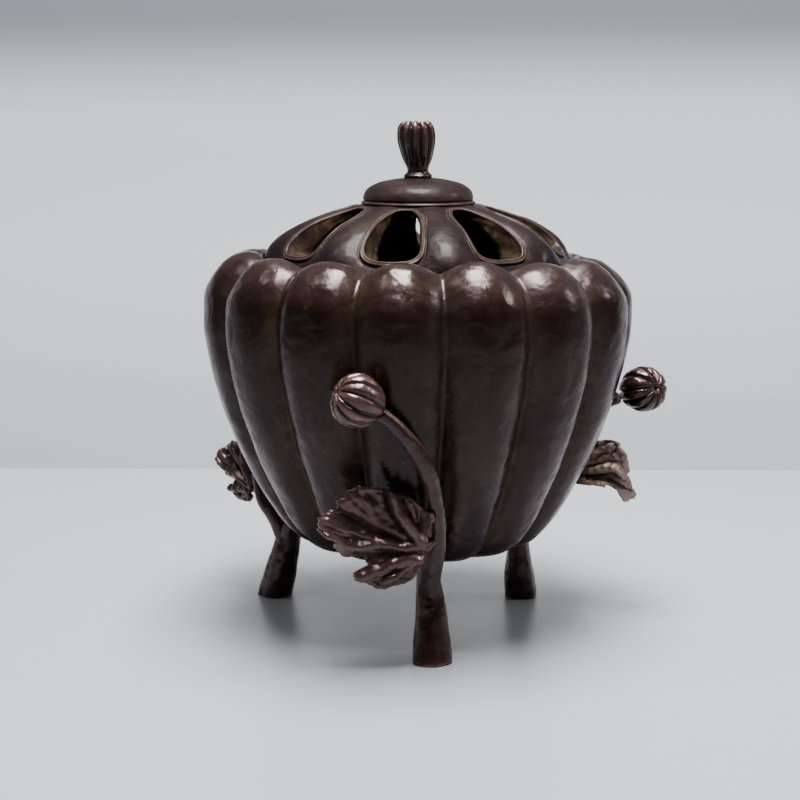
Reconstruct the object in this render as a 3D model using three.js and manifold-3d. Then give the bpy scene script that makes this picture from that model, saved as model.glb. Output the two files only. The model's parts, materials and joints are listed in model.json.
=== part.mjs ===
// Tripod incense burner: a chrysanthemum-lobed bronze bowl on three branch feet,
// each with a leaf and a budding stem, under a pierced domed lid with a bud knob.
// Millimetres, +Z up, the feet stand on z = 0.
import * as THREE from "three";
import { mergeVertices } from "three/addons/utils/BufferGeometryUtils.js";
import Module from "manifold-3d";

const wasm = await Module();
wasm.setup();

// ---- driving dimensions -------------------------------------------------
const LOBES = 15; // lobes round the bowl
const LOBE_PHASE = 7; // azimuth of one groove, degrees from -Y towards +X
const MOUTH_R = 41.6; // clear radius of the mouth
const LEDGE_R = 38.9; // inner radius of the seat ledge
const LEDGE_Z = 94.6; // top of the seat ledge
const WINDOWS = 8; // openings in the lid
const WINDOW_PHASE = -10.3; // azimuth of one opening
const WINDOW_HALF = 11.8; // half width of an opening, degrees
const BUD_R = 6.4; // radius of a bud
const RIVET_R = 1.3; // radius of the tenon through the wall
const WASHER_R = 2.7; // radius of its peened head inside
const GAP = 0.3; // clearance between touching pieces
const CENTRE = [4.9, -3.8]; // centre of the whole object's box, measured from the bowl's axis

// bowl, outside: radius and height of a lobe's crest, the groove's shift from it, fullness
const OUTSIDE = [
  [25.5, 22.0, 0, 0, 2.6], [28.9, 22.4, -0.3, 0.85, 2.6], [32.2, 23.9, -1.1, 1.3, 2.6], [35.8, 27.2, -1.85, 1.55, 2.6],
  [39.0, 31.4, -2.4, 1.75, 2.6], [42.0, 36.4, -2.95, 1.85, 2.6], [45.2, 42.4, -3.45, 1.85, 2.6], [48.5, 49.5, -3.8, 1.75, 2.6],
  [51.4, 57.2, -4.2, 1.6, 2.6], [53.7, 64.6, -4.4, 1.35, 2.6], [55.6, 72.4, -4.5, 0.95, 2.6], [56.7, 80.0, -4.6, 0.4, 2.5],
  [56.8, 85.0, -4.6, -0.1, 2.4], [56.4, 90.0, -4.45, -1.1, 2.3], [54.4, 94.2, -3.85, -2.1, 2.2], [51.8, 97.6, -2.95, -3.0, 2.1],
  [48.7, 99.9, -1.7, -3.6, 2.1], [45.6, 100.7, -0.1, -3.75, 2.1], [43.2, 100.4, 0.1, -3.0, 2.1], [MOUTH_R, 98.6, 0, -1.1, 2.1],
];
// how much lower each lobe's top is than the front ones, from azimuth -5 round by +X
const TOPS = [0, 0, -1.2, -1.8, -2.9, -3.0, -2.6, -2.0, -1.8, -1.7, -1.4, -1.3, -0.2, -0.7, -0.3];
// inside of the wall, from the seat ledge down to the floor: radius, height, depth of the flute
const INSIDE = [
  [MOUTH_R, 95.4, 0], [MOUTH_R, LEDGE_Z, 0], [LEDGE_R, LEDGE_Z, 0], [LEDGE_R, LEDGE_Z - 2.0, 0], [45.2, 91.4, 1.0],
  [51.4, 86.6, 2.6], [53.1, 80.0, 3.4], [51.9, 70.0, 3.4], [48.8, 59.5, 3.2], [44.9, 49.5, 2.9], [40.3, 39.8, 2.5],
  [35.6, 32.0, 1.9], [31.0, 27.6, 1.2], [26.6, 25.4, 0.3], [22.0, 25.0, 0],
];
// lid, in matching rows: over a rib, level with the windows, and the inner face
const LID_C = [
  [14, 112.4], [19, 111.3], [24.8, 109.5], [29.9, 107.9], [33.2, 106.3], [35.9, 104.7],
  [38.1, 103.0], [39.6, 101.2], [40.5, 99.2], [40.9, 96.9], [40.9, LEDGE_Z + GAP],
];
const LID_W = [
  [14, 112.2], [19, 110.7], [24, 109.0], [28.5, 107.2], [32.4, 104.9], [35.6, 102.3],
  [37.6, 100.0], [39.2, 97.8], [40.4, 96.2], [40.9, 95.5], [40.9, LEDGE_Z + GAP],
];
const LID_I = [
  [12.5, 110.5], [16.3, 109.9], [20.2, 108.2], [23.6, 106.0], [26.6, 103.3], [29.2, 100.2],
  [30.6, 97.8], [31.2, 96.4], [31.5, 95.7], [31.6, 95.3], [31.6, LEDGE_Z + GAP],
];
// leaf: rays round its root; angle, length, and the blade's height over its plane from root to edge
const LEAF = [
  [78, 7.4, 0.8, 1, 1.3, 1.6, 1.9, 2], [86, 8.4, 0.8, 0.9, 1, 1.3, 1.9, 2.1], [95, 9.1, 0.8, 0.5, 0.3, 0.5, 1.1, 1.7],
  [103, 10, 0.8, 0.2, -0.2, 0.1, 0.8, 1.4], [110, 11.9, 0.8, 0.1, -0.3, 0, 0.8, 1.5],
  [117, 13.7, 0.8, 0.9, 1.1, 1.2, 1.3, 1.4], [122, 14.7, 0.8, 1.7, 2.2, 2.4, 2, 1.2],
  [126, 17.4, 0.8, 1.6, 2.2, 2.4, 2.2, 1.6], [129.5, 19.3, 0.8, 0.6, 0.4, 0.5, 0.9, 1],
  [134, 20.8, 0.8, 0.2, 0.1, 0.8, 1.6, 1.7], [137.5, 22.3, 0.8, 0, -0.4, 0.3, 1.7, 2.2],
  [141, 23.2, 0.8, -0.1, -0.6, -0.2, 0.8, 1.2], [145, 24.4, 0.8, -0.2, -0.7, 0.1, 1.2, 0.9],
  [150, 24.2, 0.8, -0.3, -0.9, -0.1, 0.9, 1.5], [153.5, 24.4, 0.8, -0.5, -1.2, -0.8, 0.2, 1.3],
  [156.5, 21.3, 0.8, -0.6, -1.4, -1.3, -0.7, 0.4], [159.5, 23, 0.8, 0.2, 0, 0.3, 1.1, 2.3],
  [163.5, 25.2, 0.8, 0.9, 1.3, 1.6, 1.4, 3.1], [168, 26.1, 0.8, 1.5, 2.2, 2.5, 1.7, 3.6],
  [172, 25.4, 0.8, 2.1, 3.2, 3.6, 2.9, 3.8], [175.5, 22.6, 0.8, 2.8, 4.3, 5, 4.7, 3.9],
  [178.5, 21.2, 0.8, 2.4, 3.8, 4.4, 4.4, 3.4], [181.5, 20.7, 0.8, 1.2, 1.2, 1.4, 3, 2.6],
  [185, 19.4, 0.8, 0.9, 0.2, -0.2, 1.8, 1.9], [188.5, 17, 0.8, 1.5, 1.6, 1, 1.2, 1.3],
  [192, 14.6, 0.8, 1.8, 2.2, 1.9, 1.4, 0.7], [196, 14.5, 0.8, 1.4, 1.5, 1.5, 1.3, 0.5],
  [199.5, 18, 0.8, 1.1, 1, 1.3, 1.4, 0.3], [204, 17.9, 0.8, 1.5, 2, 2.4, 1.9, 0.5],
  [211, 16, 0.8, 1.8, 2.8, 3, 2.2, 0.6], [218.5, 14.7, 0.8, 1.6, 2.3, 2.3, 1.4, 0.1],
  [225, 13.4, 0.8, 1.7, 2.5, 2.4, 1.2, -0.2], [232, 11.4, 0.8, 1.3, 1.8, 1.6, 0.6, -0.6],
  [240, 9.4, 0.8, 1.2, 1.5, 1.2, 0.3, -0.8], [248, 7.2, 0.8, 1, 1, 0.7, 0, -0.9],
  [258, 5.4, 0.8, 0.8, 0.7, 0.4, -0.1, -0.8],
];

// ---- helpers --------------------------------------------------------------
const rad = (d) => (d * Math.PI) / 180;
const polar = (r, az, z) => [r * Math.sin(rad(az)), -r * Math.cos(rad(az)), z];
const smooth = (x) => ((x = Math.min(1, Math.max(0, x))), x * x * (3 - 2 * x));
const lerp = (a, b, t) => a.map((v, i) => v + (b[i] - v) * t);
const UP = new THREE.Vector3(0, 0, 1);

function geometryOf(positions, indices) {
  const g = new THREE.BufferGeometry();
  g.setAttribute("position", new THREE.Float32BufferAttribute(positions, 3));
  g.setIndex(indices);
  return g;
}

// rings of equal count joined into one closed skin, with a fan at each end
function ringSkin(rings) {
  const n = rings[0].length,
    pos = [],
    idx = [];
  rings.forEach((ring) => ring.forEach((p) => pos.push(...p)));
  for (let k = 0; k + 1 < rings.length; k++)
    for (let i = 0; i < n; i++) {
      const a = k * n + i,
        b = k * n + ((i + 1) % n),
        c = a + n,
        d = b + n;
      idx.push(a, b, d, a, d, c);
    }
  for (const [k, flip] of [[0, true], [rings.length - 1, false]]) {
    const c = pos.length / 3;
    const m = rings[k].reduce((s, p) => s.map((v, j) => v + p[j] / n), [0, 0, 0]);
    pos.push(...m);
    for (let i = 0; i < n; i++) {
      const a = k * n + i,
        b = k * n + ((i + 1) % n);
      flip ? idx.push(c, b, a) : idx.push(c, a, b);
    }
  }
  return geometryOf(pos, idx);
}

function solidOf(geometry) {
  const g = geometry.index ? geometry.toNonIndexed() : geometry.clone();
  for (const k of Object.keys(g.attributes)) if (k !== "position") g.deleteAttribute(k);
  const m = mergeVertices(g, 1e-4);
  let tri = new Uint32Array(m.index.array);
  const make = () =>
    new wasm.Manifold(
      new wasm.Mesh({ numProp: 3, vertProperties: m.attributes.position.array, triVerts: tri }),
    );
  let s = make();
  if (s.volume() < 0) {
    tri = tri.slice();
    for (let i = 0; i < tri.length; i += 3) [tri[i + 1], tri[i + 2]] = [tri[i + 2], tri[i + 1]];
    s = make();
  }
  return s;
}

function meshOf(solid) {
  const m = solid.getMesh(),
    n = m.numProp,
    pos = new Float32Array(m.numVert * 3);
  for (let i = 0; i < m.numVert; i++)
    pos.set(m.vertProperties.subarray(i * n, i * n + 3), i * 3);
  const g = new THREE.BufferGeometry();
  g.setAttribute("position", new THREE.BufferAttribute(pos, 3));
  g.setIndex(new THREE.BufferAttribute(new Uint32Array(m.triVerts), 1));
  return g;
}
const positive = (geometry) => meshOf(solidOf(geometry));

// a tube through 3-D points; radii are spread evenly along it
function tube(points, radii, sides, samples, grow = 0) {
  const curve = new THREE.CatmullRomCurve3(points.map((p) => new THREE.Vector3(...p)), false, "centripetal");
  const rings = [];
  let side = new THREE.Vector3(1, 0, 0);
  for (let k = 0; k <= samples; k++) {
    const t = k / samples,
      c = curve.getPointAt(t),
      d = curve.getTangentAt(t);
    side = side.clone().addScaledVector(d, -side.dot(d)).normalize();
    const up = new THREE.Vector3().crossVectors(d, side);
    const f = t * (radii.length - 1),
      i = Math.min(radii.length - 2, Math.floor(f)),
      r = radii[i] + (radii[i + 1] - radii[i]) * (f - i) + grow;
    rings.push(
      Array.from({ length: sides }, (_, j) => {
        const a = (j / sides) * 2 * Math.PI;
        return c.clone().addScaledVector(side, r * Math.cos(a)).addScaledVector(up, r * Math.sin(a)).toArray();
      }),
    );
  }
  return ringSkin(rings);
}

// a straight cylinder between two points, as a solid
const rod = (a, b, r, sides = 12) => solidOf(tube([a, lerp(a, b, 0.5), b], [r, r, r], sides, 2));

// a turned piece from a (r, z) profile that starts and ends on the axis
const turned = (profile, segments) =>
  solidOf(
    new THREE.LatheGeometry(profile.map(([r, z]) => new THREE.Vector2(r, z)), segments).applyMatrix4(
      new THREE.Matrix4().makeRotationX(Math.PI / 2),
    ),
  );

// a turned ring from a closed (r, z) section
function turnedRing(section, segments) {
  const pos = section.map(([r, z]) => Array.from({ length: segments }, (_, i) => polar(r, (i / segments) * 360, z))).flat(2);
  const n = segments, m = section.length, idx = [];
  for (let k = 0; k < m; k++)
    for (let i = 0; i < n; i++) {
      const a = k * n + i, b = k * n + ((i + 1) % n), c = ((k + 1) % m) * n + i, d = ((k + 1) % m) * n + ((i + 1) % n);
      idx.push(a, b, d, a, d, c);
    }
  return solidOf(geometryOf(pos, idx));
}

// ---- materials -------------------------------------------------------------
const bronze = (color, roughness) => new THREE.MeshStandardMaterial({ color, roughness, metalness: 0.85 });
const DARK = bronze(0x33282a, 0.38),
  BRANCH = bronze(0x3a2724, 0.45),
  LEAFC = bronze(0x40302a, 0.42),
  PALE = bronze(0x4a3b2c, 0.55);

const burner = new THREE.Group();
const add = (name, solid, material, parent = burner) => {
  const m = new THREE.Mesh(meshOf(solid), material);
  m.name = name;
  parent.add(m);
  return m;
};

// ---- bowl --------------------------------------------------------------------
const STEPS = 6; // facets across one lobe
const PITCH = 360 / LOBES;
const lobeS = (i) => Math.abs(((i % STEPS) / STEPS) * 2 - 1); // 1 in the groove, 0 on the crest
function topDrop(az) {
  const f = ((((az + 5) % 360) + 360) % 360) / PITCH,
    i = Math.floor(f) % LOBES;
  return TOPS[i] + (TOPS[(i + 1) % LOBES] - TOPS[i]) * smooth(f - Math.floor(f));
}
function outerRing([r, z, dr, dz, e], grow = 0) {
  const high = Math.pow(Math.min(1, Math.max(0, (z - 78) / 20)), 1.5) * (0.5 + 0.5 * smooth((r - MOUTH_R) / 3.6));
  return Array.from({ length: LOBES * STEPS }, (_, i) => {
    const az = LOBE_PHASE + (i / STEPS) * PITCH,
      q = Math.pow(lobeS(i), e);
    return polar(r + dr * q + grow, az, z + dz * q + topDrop(az) * high);
  });
}
const innerRing = ([r, z, d]) =>
  Array.from({ length: LOBES * STEPS }, (_, i) => polar(r - d * Math.pow(lobeS(i), 2.6), LOBE_PHASE + (i / STEPS) * PITCH, z));
let bowl = solidOf(ringSkin([...OUTSIDE.map((p) => outerRing(p)), ...INSIDE.map(innerRing)]));
// the bowl as a full block, a clearance larger all round, for trimming what touches it
const bowlBlock = solidOf(
  ringSkin([
    outerRing([25.3, 22.0 - GAP, 0, 0, 2.6]),
    ...OUTSIDE.map(([r, z, ...w], i) => outerRing([r, z - (z < 60 ? GAP * 0.9 : 0), ...w], i ? GAP * 0.9 : GAP)),
  ]),
);
// inner wall radius over the facets at a height, level with the groove nearest to an azimuth range
function innerRadius(z, az) {
  let k = 4;
  while (k < INSIDE.length - 2 && INSIDE[k + 1][1] > z) k++;
  const a = INSIDE[k], b = INSIDE[k + 1], t = Math.min(1, Math.max(0, (z - a[1]) / (b[1] - a[1])));
  const f = ((((az - LOBE_PHASE) % 360) + 360) % 360) / (PITCH / STEPS), i = Math.floor(f), w = f - i;
  const d = Math.pow(lobeS(i), 2.6) * (1 - w) + Math.pow(lobeS(i + 1), 2.6) * w;
  return a[0] + (b[0] - a[0]) * t - (a[2] + (b[2] - a[2]) * t) * d;
}

// ---- leg units: trunk, branch, bud, leaf -----------------------------------------
// points marked with an azimuth are (out, across, up) from the bowl's axis at it
const spin = (p, az) => {
  const o = polar(1, az, 0), t = [Math.cos(rad(az)), Math.sin(rad(az))];
  return [p[0] * o[0] + p[1] * t[0], p[0] * o[1] + p[1] * t[1], p[2]];
};
const at = (az, pts) => pts.map((p) => spin(p, az));
const STEM_R = [2.1, 2.75, 2.8, 2.35, 2.1, 2.2, 2.15, 1.8, 1.75];
const UNITS = {
  front: {
    trunk: [[3.6, -38.8, 0], [3.55, -38.2, 1.6], [3.5, -37.4, 3.9], [3.4, -36.4, 9.9], [3.05, -35.4, 16.1], [2.7, -34.6, 20.5], [2.6, -34, 25], [2.5, -33.2, 29]],
    trad: [4.85, 4.55, 4.1, 3.8, 3.35, 2.9, 2.75, 2.9],
    stem: [[3.3, -35.6, 13], [3.2, -36.9, 17.5], [3.2, -38.8, 22], [3.6, -41.1, 26.2], [4.4, -43, 30.4], [4.75, -44.8, 34.4], [4.8, -46.2, 38], [4.4, -47.8, 42.1], [3.8, -49.4, 46.2], [2.8, -51, 50.2], [0.1, -53.3, 56], [-2.9, -54.9, 60.2], [-5.8, -55.9, 63.6], [-8.9, -56.7, 66.3]],
    bud: [-13.8, -57.7, 69.3],
    leaf: { az: 5, root: [1.6, -48, 31.6], relief: 1.2 },
  },
  right: {
    trunk: [[29.47, 19.07, 0], [29.39, 19.01, 1.6], [29.16, 18.99, 3.9], [28.74, 18.71, 8.5], [28.63, 18.52, 13.5], [28.46, 18.41, 18.5], [28.21, 18.25, 23.5], [27.88, 18.03, 29.5]],
    trad: [4.45, 4.3, 3.75, 3.2, 3, 2.9, 2.9, 3],
    stem: [[28.71, 18.58, 13], [29.53, 19.34, 17.5], [31.55, 20.65, 21.5], [34.37, 21.99, 25.6], [36.93, 23.18, 30.2], [38.72, 24.1, 34.4], [40.29, 24.99, 38], [41.91, 25.8, 41.6], [43.61, 26.3, 45], [45.84, 25.61, 48.7], [49.14, 23.45, 52.3], [52.26, 20.47, 55.2], [55.27, 16.93, 57.3]],
    bud: [61.6, 12, 60.7],
    leaf: { az: 122.9, root: [42.87, 23.21, 34.4], scale: [0.97, 0.8], bend: [125, 12.5], curl: 82, lift: 5.8 },
  },
  left: {
    trunk: [[-40.51, 20.28, 0], [-40.15, 20.1, 1.6], [-39.3, 19.57, 4.6], [-38.31, 19.07, 8.9], [-37.38, 18.72, 12.5], [-36.75, 18.4, 15.5], [-35.41, 17.73, 20.5], [-33.8, 16.93, 25], [-32.19, 16.12, 29.5]],
    trad: [4.8, 4.6, 4.2, 3.8, 3.4, 3.2, 3.1, 3.2],
    stem: [[-37.38, 18.72, 13], [-37.87, 18.63, 17], [-39.12, 19.25, 20.9], [-40.95, 20.51, 24.3], [-42.96, 21.85, 26.9], [-43.99, 22.7, 29.4], [-44.8, 23.77, 33.4], [-45.33, 24.71, 38], [-45.78, 26.28, 43], [-45.96, 29.28, 48.6], [-45.33, 34.11, 54.4], [-44.34, 37.86, 58.6], [-43.09, 41.26, 62]],
    bud: [-41.92, 47.16, 65.6],
    leaf: { az: -116.6, root: [-46.23, 25.61, 29.2], scale: [0.68, 0.8], relief: 0.8, turn: -20, curl: 22, twist: 65 },
  },
};

// puts a point of the leaf's own (along, across, over) into the bowl's frame
function leafPoint(u, v, w, L) {
  u *= L.scale?.[0] ?? 1;
  v *= L.scale?.[1] ?? 1;
  w = (w - 0.8) * (L.relief ?? 1);
  const ta = rad(L.turn ?? 0);
  [u, v] = [u * Math.cos(ta) + v * Math.sin(ta), -u * Math.sin(ta) + v * Math.cos(ta)];
  const cl = rad(L.curl ?? 0), low = Math.min(v, 0);
  v += low * (Math.cos(cl) - 1);
  w += low * Math.sin(cl);
  const k = Math.min(1.3, Math.max(0, u / 25));
  if (L.bend && u > L.bend[1]) {
    const c = rad(L.bend[0]) / (25 - L.bend[1]), th = c * (u - L.bend[1]);
    v -= (1 - Math.cos(th)) / c;
    u = L.bend[1] + Math.sin(th) / c;
  }
  w += (L.lift ?? 0) * Math.pow(k, 1.2);
  const tw = rad(L.twist ?? 0);
  [u, w] = [u * Math.cos(tw) - w * Math.sin(tw), u * Math.sin(tw) + w * Math.cos(tw)];
  const p = spin([w + 0.8, -u, v], L.az);
  return p.map((x, i) => x + L.root[i]);
}

function leafSolid(L) {
  const K = 5, n = LEAF.length, pos = [], idx = [];
  const half = (t) => 0.65 - 0.25 * t;
  const put = (u, v, w) => (pos.push(...leafPoint(u, v, w, L)), pos.length / 3 - 1);
  const side = [1, -1].map((s) => {
    const root = put(0, 0, 0.8 + s * half(0));
    return LEAF.map(([a, len, ...h]) =>
      Array.from({ length: K + 1 }, (_, k) =>
        k ? put(-Math.cos(rad(a)) * len * (k / K), Math.sin(rad(a)) * len * (k / K), h[k] + s * half(k / K)) : root,
      ),
    );
  });
  const [T, B] = side;
  for (let j = 0; j + 1 < n; j++) {
    for (let k = 0; k < K; k++) {
      const [a, b, c, d] = [T[j][k], T[j][k + 1], T[j + 1][k + 1], T[j + 1][k]];
      idx.push(a, b, c);
      if (k) idx.push(a, c, d);
      const [e, f, g, h] = [B[j][k], B[j][k + 1], B[j + 1][k + 1], B[j + 1][k]];
      idx.push(e, g, f);
      if (k) idx.push(e, h, g);
    }
    idx.push(T[j + 1][K], T[j][K], B[j][K], T[j + 1][K], B[j][K], B[j + 1][K]);
  }
  for (let k = 0; k < K; k++) {
    idx.push(T[0][k + 1], T[0][k], B[0][k], T[0][k + 1], B[0][k], B[0][k + 1]);
    idx.push(T[n - 1][k], T[n - 1][k + 1], B[n - 1][k + 1], T[n - 1][k], B[n - 1][k + 1], B[n - 1][k]);
  }
  return solidOf(geometryOf(pos, idx));
}

const BUD = [[0, -6.15], [3.0, -5.6], [5.3, -3.2], [6.35, 0.1], [5.9, 3.1], [4.0, 5.4], [1.8, 6.05], [0, 5.6]];
for (const [name, U] of Object.entries(UNITS)) {
  // trunk: a cut branch, flared at the foot, its top shaped to the bowl's flank
  const low = U.trunk[0].map((v, i) => v - (U.trunk[1][i] - v) * 1.2);
  const trunkPts = [low, ...U.trunk], trunkR = [U.trad[0], ...U.trad];
  let leg = solidOf(tube(trunkPts, trunkR, 14, 10));
  leg = leg.subtract(solidOf(new THREE.BoxGeometry(160, 160, 10).translate(0, 0, -5)));
  leg = leg.subtract(bowlBlock);
  const legClear = solidOf(tube(trunkPts, trunkR, 14, 10, GAP));

  // tenon up the trunk and through the wall, and its peened head on the inside
  const curve = new THREE.CatmullRomCurve3(U.trunk.map((p) => new THREE.Vector3(...p)), false, "centripetal");
  const low0 = curve.getPointAt(0.6), high0 = curve.getPointAt(0.86);
  const dir = high0.clone().sub(low0).normalize(), exit = low0.clone();
  for (let k = 0; k < 400; k++) {
    exit.addScaledVector(dir, 0.1);
    const az = (Math.atan2(exit.x, -exit.y) * 180) / Math.PI;
    if (exit.z > 24 && Math.hypot(exit.x, exit.y) < innerRadius(exit.z, az)) break;
  }
  const pinLow = low0.toArray(), pinHigh = exit.clone().addScaledVector(dir, -1.2).toArray();
  const past = exit.clone().addScaledVector(dir, 4).toArray();
  leg = leg.subtract(rod(low0.clone().addScaledVector(dir, -0.4).toArray(), past, RIVET_R + GAP));
  bowl = bowl.subtract(rod(low0.clone().addScaledVector(dir, 2.0).toArray(), past, RIVET_R + GAP));
  const azX = (Math.atan2(exit.x, -exit.y) * 180) / Math.PI, nrm = new THREE.Vector3(...spin([-0.69, 0, 0.724], azX));
  const across = new THREE.Vector3(...spin([0, 1, 0], azX)), along = new THREE.Vector3().crossVectors(nrm, across);
  let off = 0.4;
  for (; off < 3; off += 0.05) {
    let clear = true;
    for (let a = 0; a < 24 && clear; a++) {
      const p = exit.clone().addScaledVector(nrm, off).addScaledVector(across, WASHER_R * Math.cos((a * Math.PI) / 12))
        .addScaledVector(along, WASHER_R * Math.sin((a * Math.PI) / 12));
      clear = Math.hypot(p.x, p.y) < innerRadius(p.z, (Math.atan2(p.x, -p.y) * 180) / Math.PI) - 0.45;
    }
    if (clear) break;
  }
  const head = [off, off + 0.9].map((d) => exit.clone().addScaledVector(nrm, d).toArray());
  add("leg_" + name, leg, BRANCH);
  add("leg_rivet_" + name, rod(pinLow, pinHigh, RIVET_R), PALE);
  add("rivet_washer_" + name, rod(head[0], head[1], WASHER_R, 14), PALE);

  // bud: a ribbed ball on the branch's end
  const c = new THREE.Vector3(...U.bud), end = new THREE.Vector3(...U.stem[U.stem.length - 1]);
  const budAz = (Math.atan2(c.x, -c.y) * 180) / Math.PI;
  const axis = new THREE.Vector3(...spin([0.34, -0.9, 0.22], budAz)).normalize().multiplyScalar(0.8)
    .addScaledVector(c.clone().sub(end).normalize(), 0.2).normalize();
  const q = new THREE.Quaternion().setFromUnitVectors(UP, axis);
  const ball = (grow) => {
    const g = new THREE.LatheGeometry(BUD.map(([r, z], i) => new THREE.Vector2(r ? r + grow : 0, z + grow * Math.sign(z))), 16);
    g.applyMatrix4(new THREE.Matrix4().makeRotationX(Math.PI / 2));
    g.applyMatrix4(new THREE.Matrix4().compose(c, q, new THREE.Vector3(1, 1, 1)));
    return solidOf(g);
  };
  add("bud_" + name, ball(0).subtract(bowlBlock), BRANCH);

  // branch: out of the trunk, up the bowl's side, across to the bud
  const stem = solidOf(tube(U.stem, STEM_R, 10, 20)).subtract(legClear).subtract(bowlBlock).subtract(ball(GAP));
  add("stem_" + name, stem, BRANCH);

  // leaf, with a short stalk to the branch
  const L = { ...U.leaf };
  const stemCurve = new THREE.CatmullRomCurve3(U.stem.map((p) => new THREE.Vector3(...p)), false, "centripetal");
  const root = new THREE.Vector3(...L.root);
  let near = null;
  for (let k = 0; k <= 200; k++) {
    const p = stemCurve.getPoint(k / 200);
    if (!near || p.distanceTo(root) < near.distanceTo(root)) near = p;
  }
  const stalkEnd = new THREE.Vector3(...leafPoint(1.5, 0.4, 0.8, L));
  const blade = leafSolid(L)
    .add(solidOf(tube([near.toArray(), near.clone().lerp(root, 0.5).toArray(), root.toArray(), stalkEnd.toArray()], [1.3, 1.2, 1.1, 0.9], 8, 4)))
    .subtract(solidOf(tube(U.stem, STEM_R, 10, 20, GAP)))
    .subtract(legClear)
    .subtract(bowlBlock);
  add("leaf_" + name, blade, LEAFC);
}
add("bowl", bowl, DARK);

// ---- lid ---------------------------------------------------------------------
const lid = new THREE.Group();
burner.add(lid);
const rowAt = (tab, t) => {
  const i = Math.min(tab.length - 2, Math.floor(t));
  return lerp(tab[i], tab[i + 1], t - i);
};
const rib = (d) => Math.pow(1 - Math.pow(Math.min(1, Math.max(0, (22.5 - Math.abs(d)) / 12)), 2), 1.35);
const offWindow = (az) => ((((az - WINDOW_PHASE + 22.5) % 45) + 45) % 45) - 22.5;
const SEG = 48;
const lidRing = (t, inner) =>
  Array.from({ length: SEG }, (_, i) => {
    const az = WINDOW_PHASE + (i / SEG) * 360;
    const p = inner ? LID_I[t] : lerp(LID_W[t], LID_C[t], rib(offWindow(az)));
    return polar(p[0], az, p[1]);
  });
const levels = LID_C.map((_, i) => i);
const circle = (r, z) => Array.from({ length: SEG }, (_, i) => polar(r, WINDOW_PHASE + (i / SEG) * 360, z));
let lidShell = solidOf(
  ringSkin([circle(3, 112.3), ...levels.map((t) => lidRing(t, false)), ...levels.reverse().map((t) => lidRing(t, true)), circle(3, 110.5)]),
);
for (let w = 0; w < WINDOWS; w++) {
  const az0 = WINDOW_PHASE + (w * 360) / WINDOWS, M = 18, outer = [], inner = [];
  for (let i = 0; i < M; i++) {
    const a = (i / M) * 2 * Math.PI, ca = Math.cos(a), sa = Math.sin(a);
    const k = Math.pow(Math.abs(ca) ** 3.3 + Math.abs(sa) ** 3.3, -1 / 3.3);
    const t = 3.37 + 2.6 * sa * k, half = WINDOW_HALF * (1 - 0.07 * smooth((2.2 - t) / 2.2));
    const d = half * ca * k;
    const po = polar(rowAt(LID_W, t)[0], az0 + d, rowAt(LID_W, t)[1]),
      pi = polar(rowAt(LID_I, t)[0], az0 + d * 0.86, rowAt(LID_I, t)[1]);
    outer.push(lerp(po, pi, -0.45));
    inner.push(lerp(po, pi, 1.45));
  }
  lidShell = lidShell.subtract(solidOf(ringSkin([outer, inner])));
}
lidShell = lidShell.subtract(rod([0, 0, 105], [0, 0, 116], 2.0, 16)); // hole for the stud
add("lid_shell", lidShell, DARK, lid);

// locating ring under the lid's edge, which drops inside the seat ledge
add(
  "lid_locating_ring",
  turnedRing([[36.4, 90.6], [LEDGE_R - 0.5, 90.6], [LEDGE_R - 0.5, 94.6], [36.4, 94.6]], 36),
  PALE, lid,
);
// boss, knob, and the stud that holds them to the dome
add(
  "lid_boss",
  turnedRing([[2.1, 112.7], [14.2, 112.7], [14.85, 113.3], [14.2, 114.2], [12.6, 115.85], [10.4, 116.9], [6.6, 118.05], [2.1, 118.9]], 26),
  DARK, lid,
);
add(
  "lid_knob",
  turned([[0, 119.2], [3.75, 119.2], [2.95, 120.2], [2.95, 121.2], [3.75, 123.3], [4.6, 125.8], [5.15, 129.2], [4.9, 131.6], [3.9, 133.5], [0, 133.6]], 22),
  BRANCH, lid,
);
add("knob_stud", turned([[0, 108.4], [1.7, 108.4], [1.7, 118.9], [0, 118.9]], 16), PALE, lid);
add("stud_washer", turnedRing([[2.0, 109.2], [5.0, 109.2], [5.0, 110.2], [2.0, 110.2]], 20), PALE, lid);

// the group's frame: centre of the footprint's box, on the ground
burner.position.set(-CENTRE[0], -CENTRE[1], 0);
export default burner;
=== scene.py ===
import bpy, bmesh, json, math
import numpy as np
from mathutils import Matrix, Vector, noise


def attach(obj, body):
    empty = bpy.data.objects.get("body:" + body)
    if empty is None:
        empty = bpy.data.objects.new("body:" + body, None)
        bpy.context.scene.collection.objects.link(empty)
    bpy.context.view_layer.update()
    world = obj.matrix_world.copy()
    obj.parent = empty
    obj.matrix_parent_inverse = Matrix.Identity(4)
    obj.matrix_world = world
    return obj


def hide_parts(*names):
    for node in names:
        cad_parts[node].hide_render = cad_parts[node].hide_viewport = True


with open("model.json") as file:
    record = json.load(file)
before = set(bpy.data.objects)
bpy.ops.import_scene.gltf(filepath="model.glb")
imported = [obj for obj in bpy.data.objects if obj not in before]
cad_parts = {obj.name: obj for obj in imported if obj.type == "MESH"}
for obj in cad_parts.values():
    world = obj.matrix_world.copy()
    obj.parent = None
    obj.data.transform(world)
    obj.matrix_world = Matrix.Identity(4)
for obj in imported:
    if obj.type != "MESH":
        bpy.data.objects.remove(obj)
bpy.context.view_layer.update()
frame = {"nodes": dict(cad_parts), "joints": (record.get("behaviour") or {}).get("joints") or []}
J = [j for j in frame["joints"] if j["name"] == "lid_turn"][0]
AX, AY = J["pos_m"][0] * 1000.0, J["pos_m"][1] * 1000.0      # the bowl's axis, mm

# ------------------------------------------------------------------ dimensions (mm)
LOBES, PHASE = 15, 7.0
MOUTH_R, LEDGE_R, LEDGE_Z = 41.6, 38.9, 94.6
WINDOWS, WPHASE, WHALF = 8, -10.3, 11.8

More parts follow.
